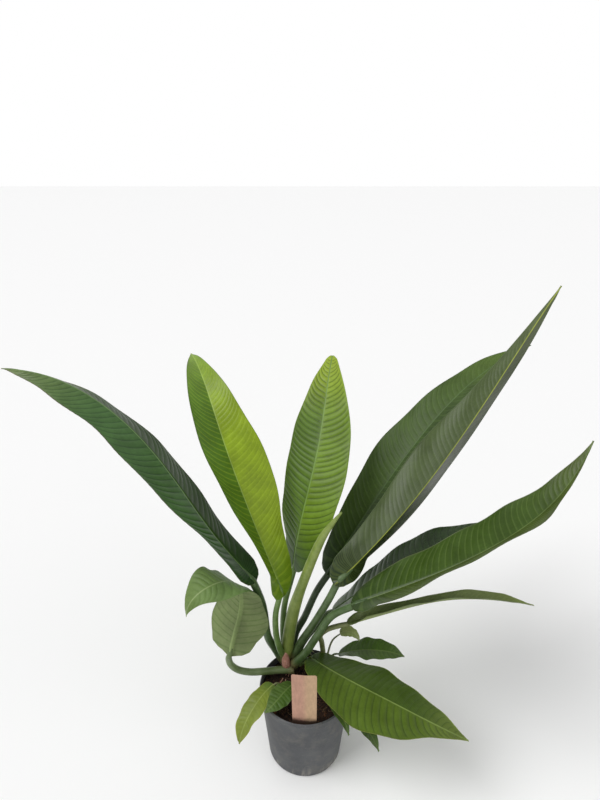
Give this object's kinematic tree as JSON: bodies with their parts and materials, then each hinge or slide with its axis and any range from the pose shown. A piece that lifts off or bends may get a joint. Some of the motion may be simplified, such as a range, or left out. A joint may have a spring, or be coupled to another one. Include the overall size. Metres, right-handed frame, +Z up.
{
  "type": "potted philodendron",
  "caption": "Young philodendron with long narrow ribbed leaves on slender stalks, growing from one crown in a round tapered nursery pot of dark grey plastic with soil and a blank plant label.",
  "frame": {"origin": "middle of the pot's flat base, in the plane that the pot stands on", "axes": "+Z up along the pot's axis; the pictured side faces -Y; +X is to the right in the picture"},
  "size_m": [0.8327, 0.3564, 0.695],
  "materials": {
    "pot_plastic": "matte",
    "soil": "matte",
    "card": "matte",
    "stem": "satin",
    "leaf_dark": "satin",
    "leaf_mid": "satin",
    "leaf_bright": "satin",
    "leaf_pale": "satin"
  },
  "bodies": {
    "root": {"pot": "pot_plastic", "soil": "soil", "plant_label": "card", "stem": "stem", "leaf_far_left": "leaf_dark", "leaf_upper_left": "leaf_bright", "leaf_upper_middle": "leaf_bright", "leaf_upper_right_back": "leaf_mid", "leaf_upper_right_front": "leaf_dark", "leaf_right_back": "leaf_mid", "leaf_right_front": "leaf_mid", "leaf_slender_right": "leaf_pale", "leaf_front_right": "leaf_mid", "leaf_folded_left": "leaf_pale", "small_leaf_right": "leaf_mid", "small_leaf_back_right": "leaf_pale", "small_leaf_front_left": "leaf_bright", "small_leaf_front_middle": "leaf_mid", "small_leaves_front_right": "leaf_mid", "rolled_new_leaf": "leaf_pale"}
  },
  "joints": []
}
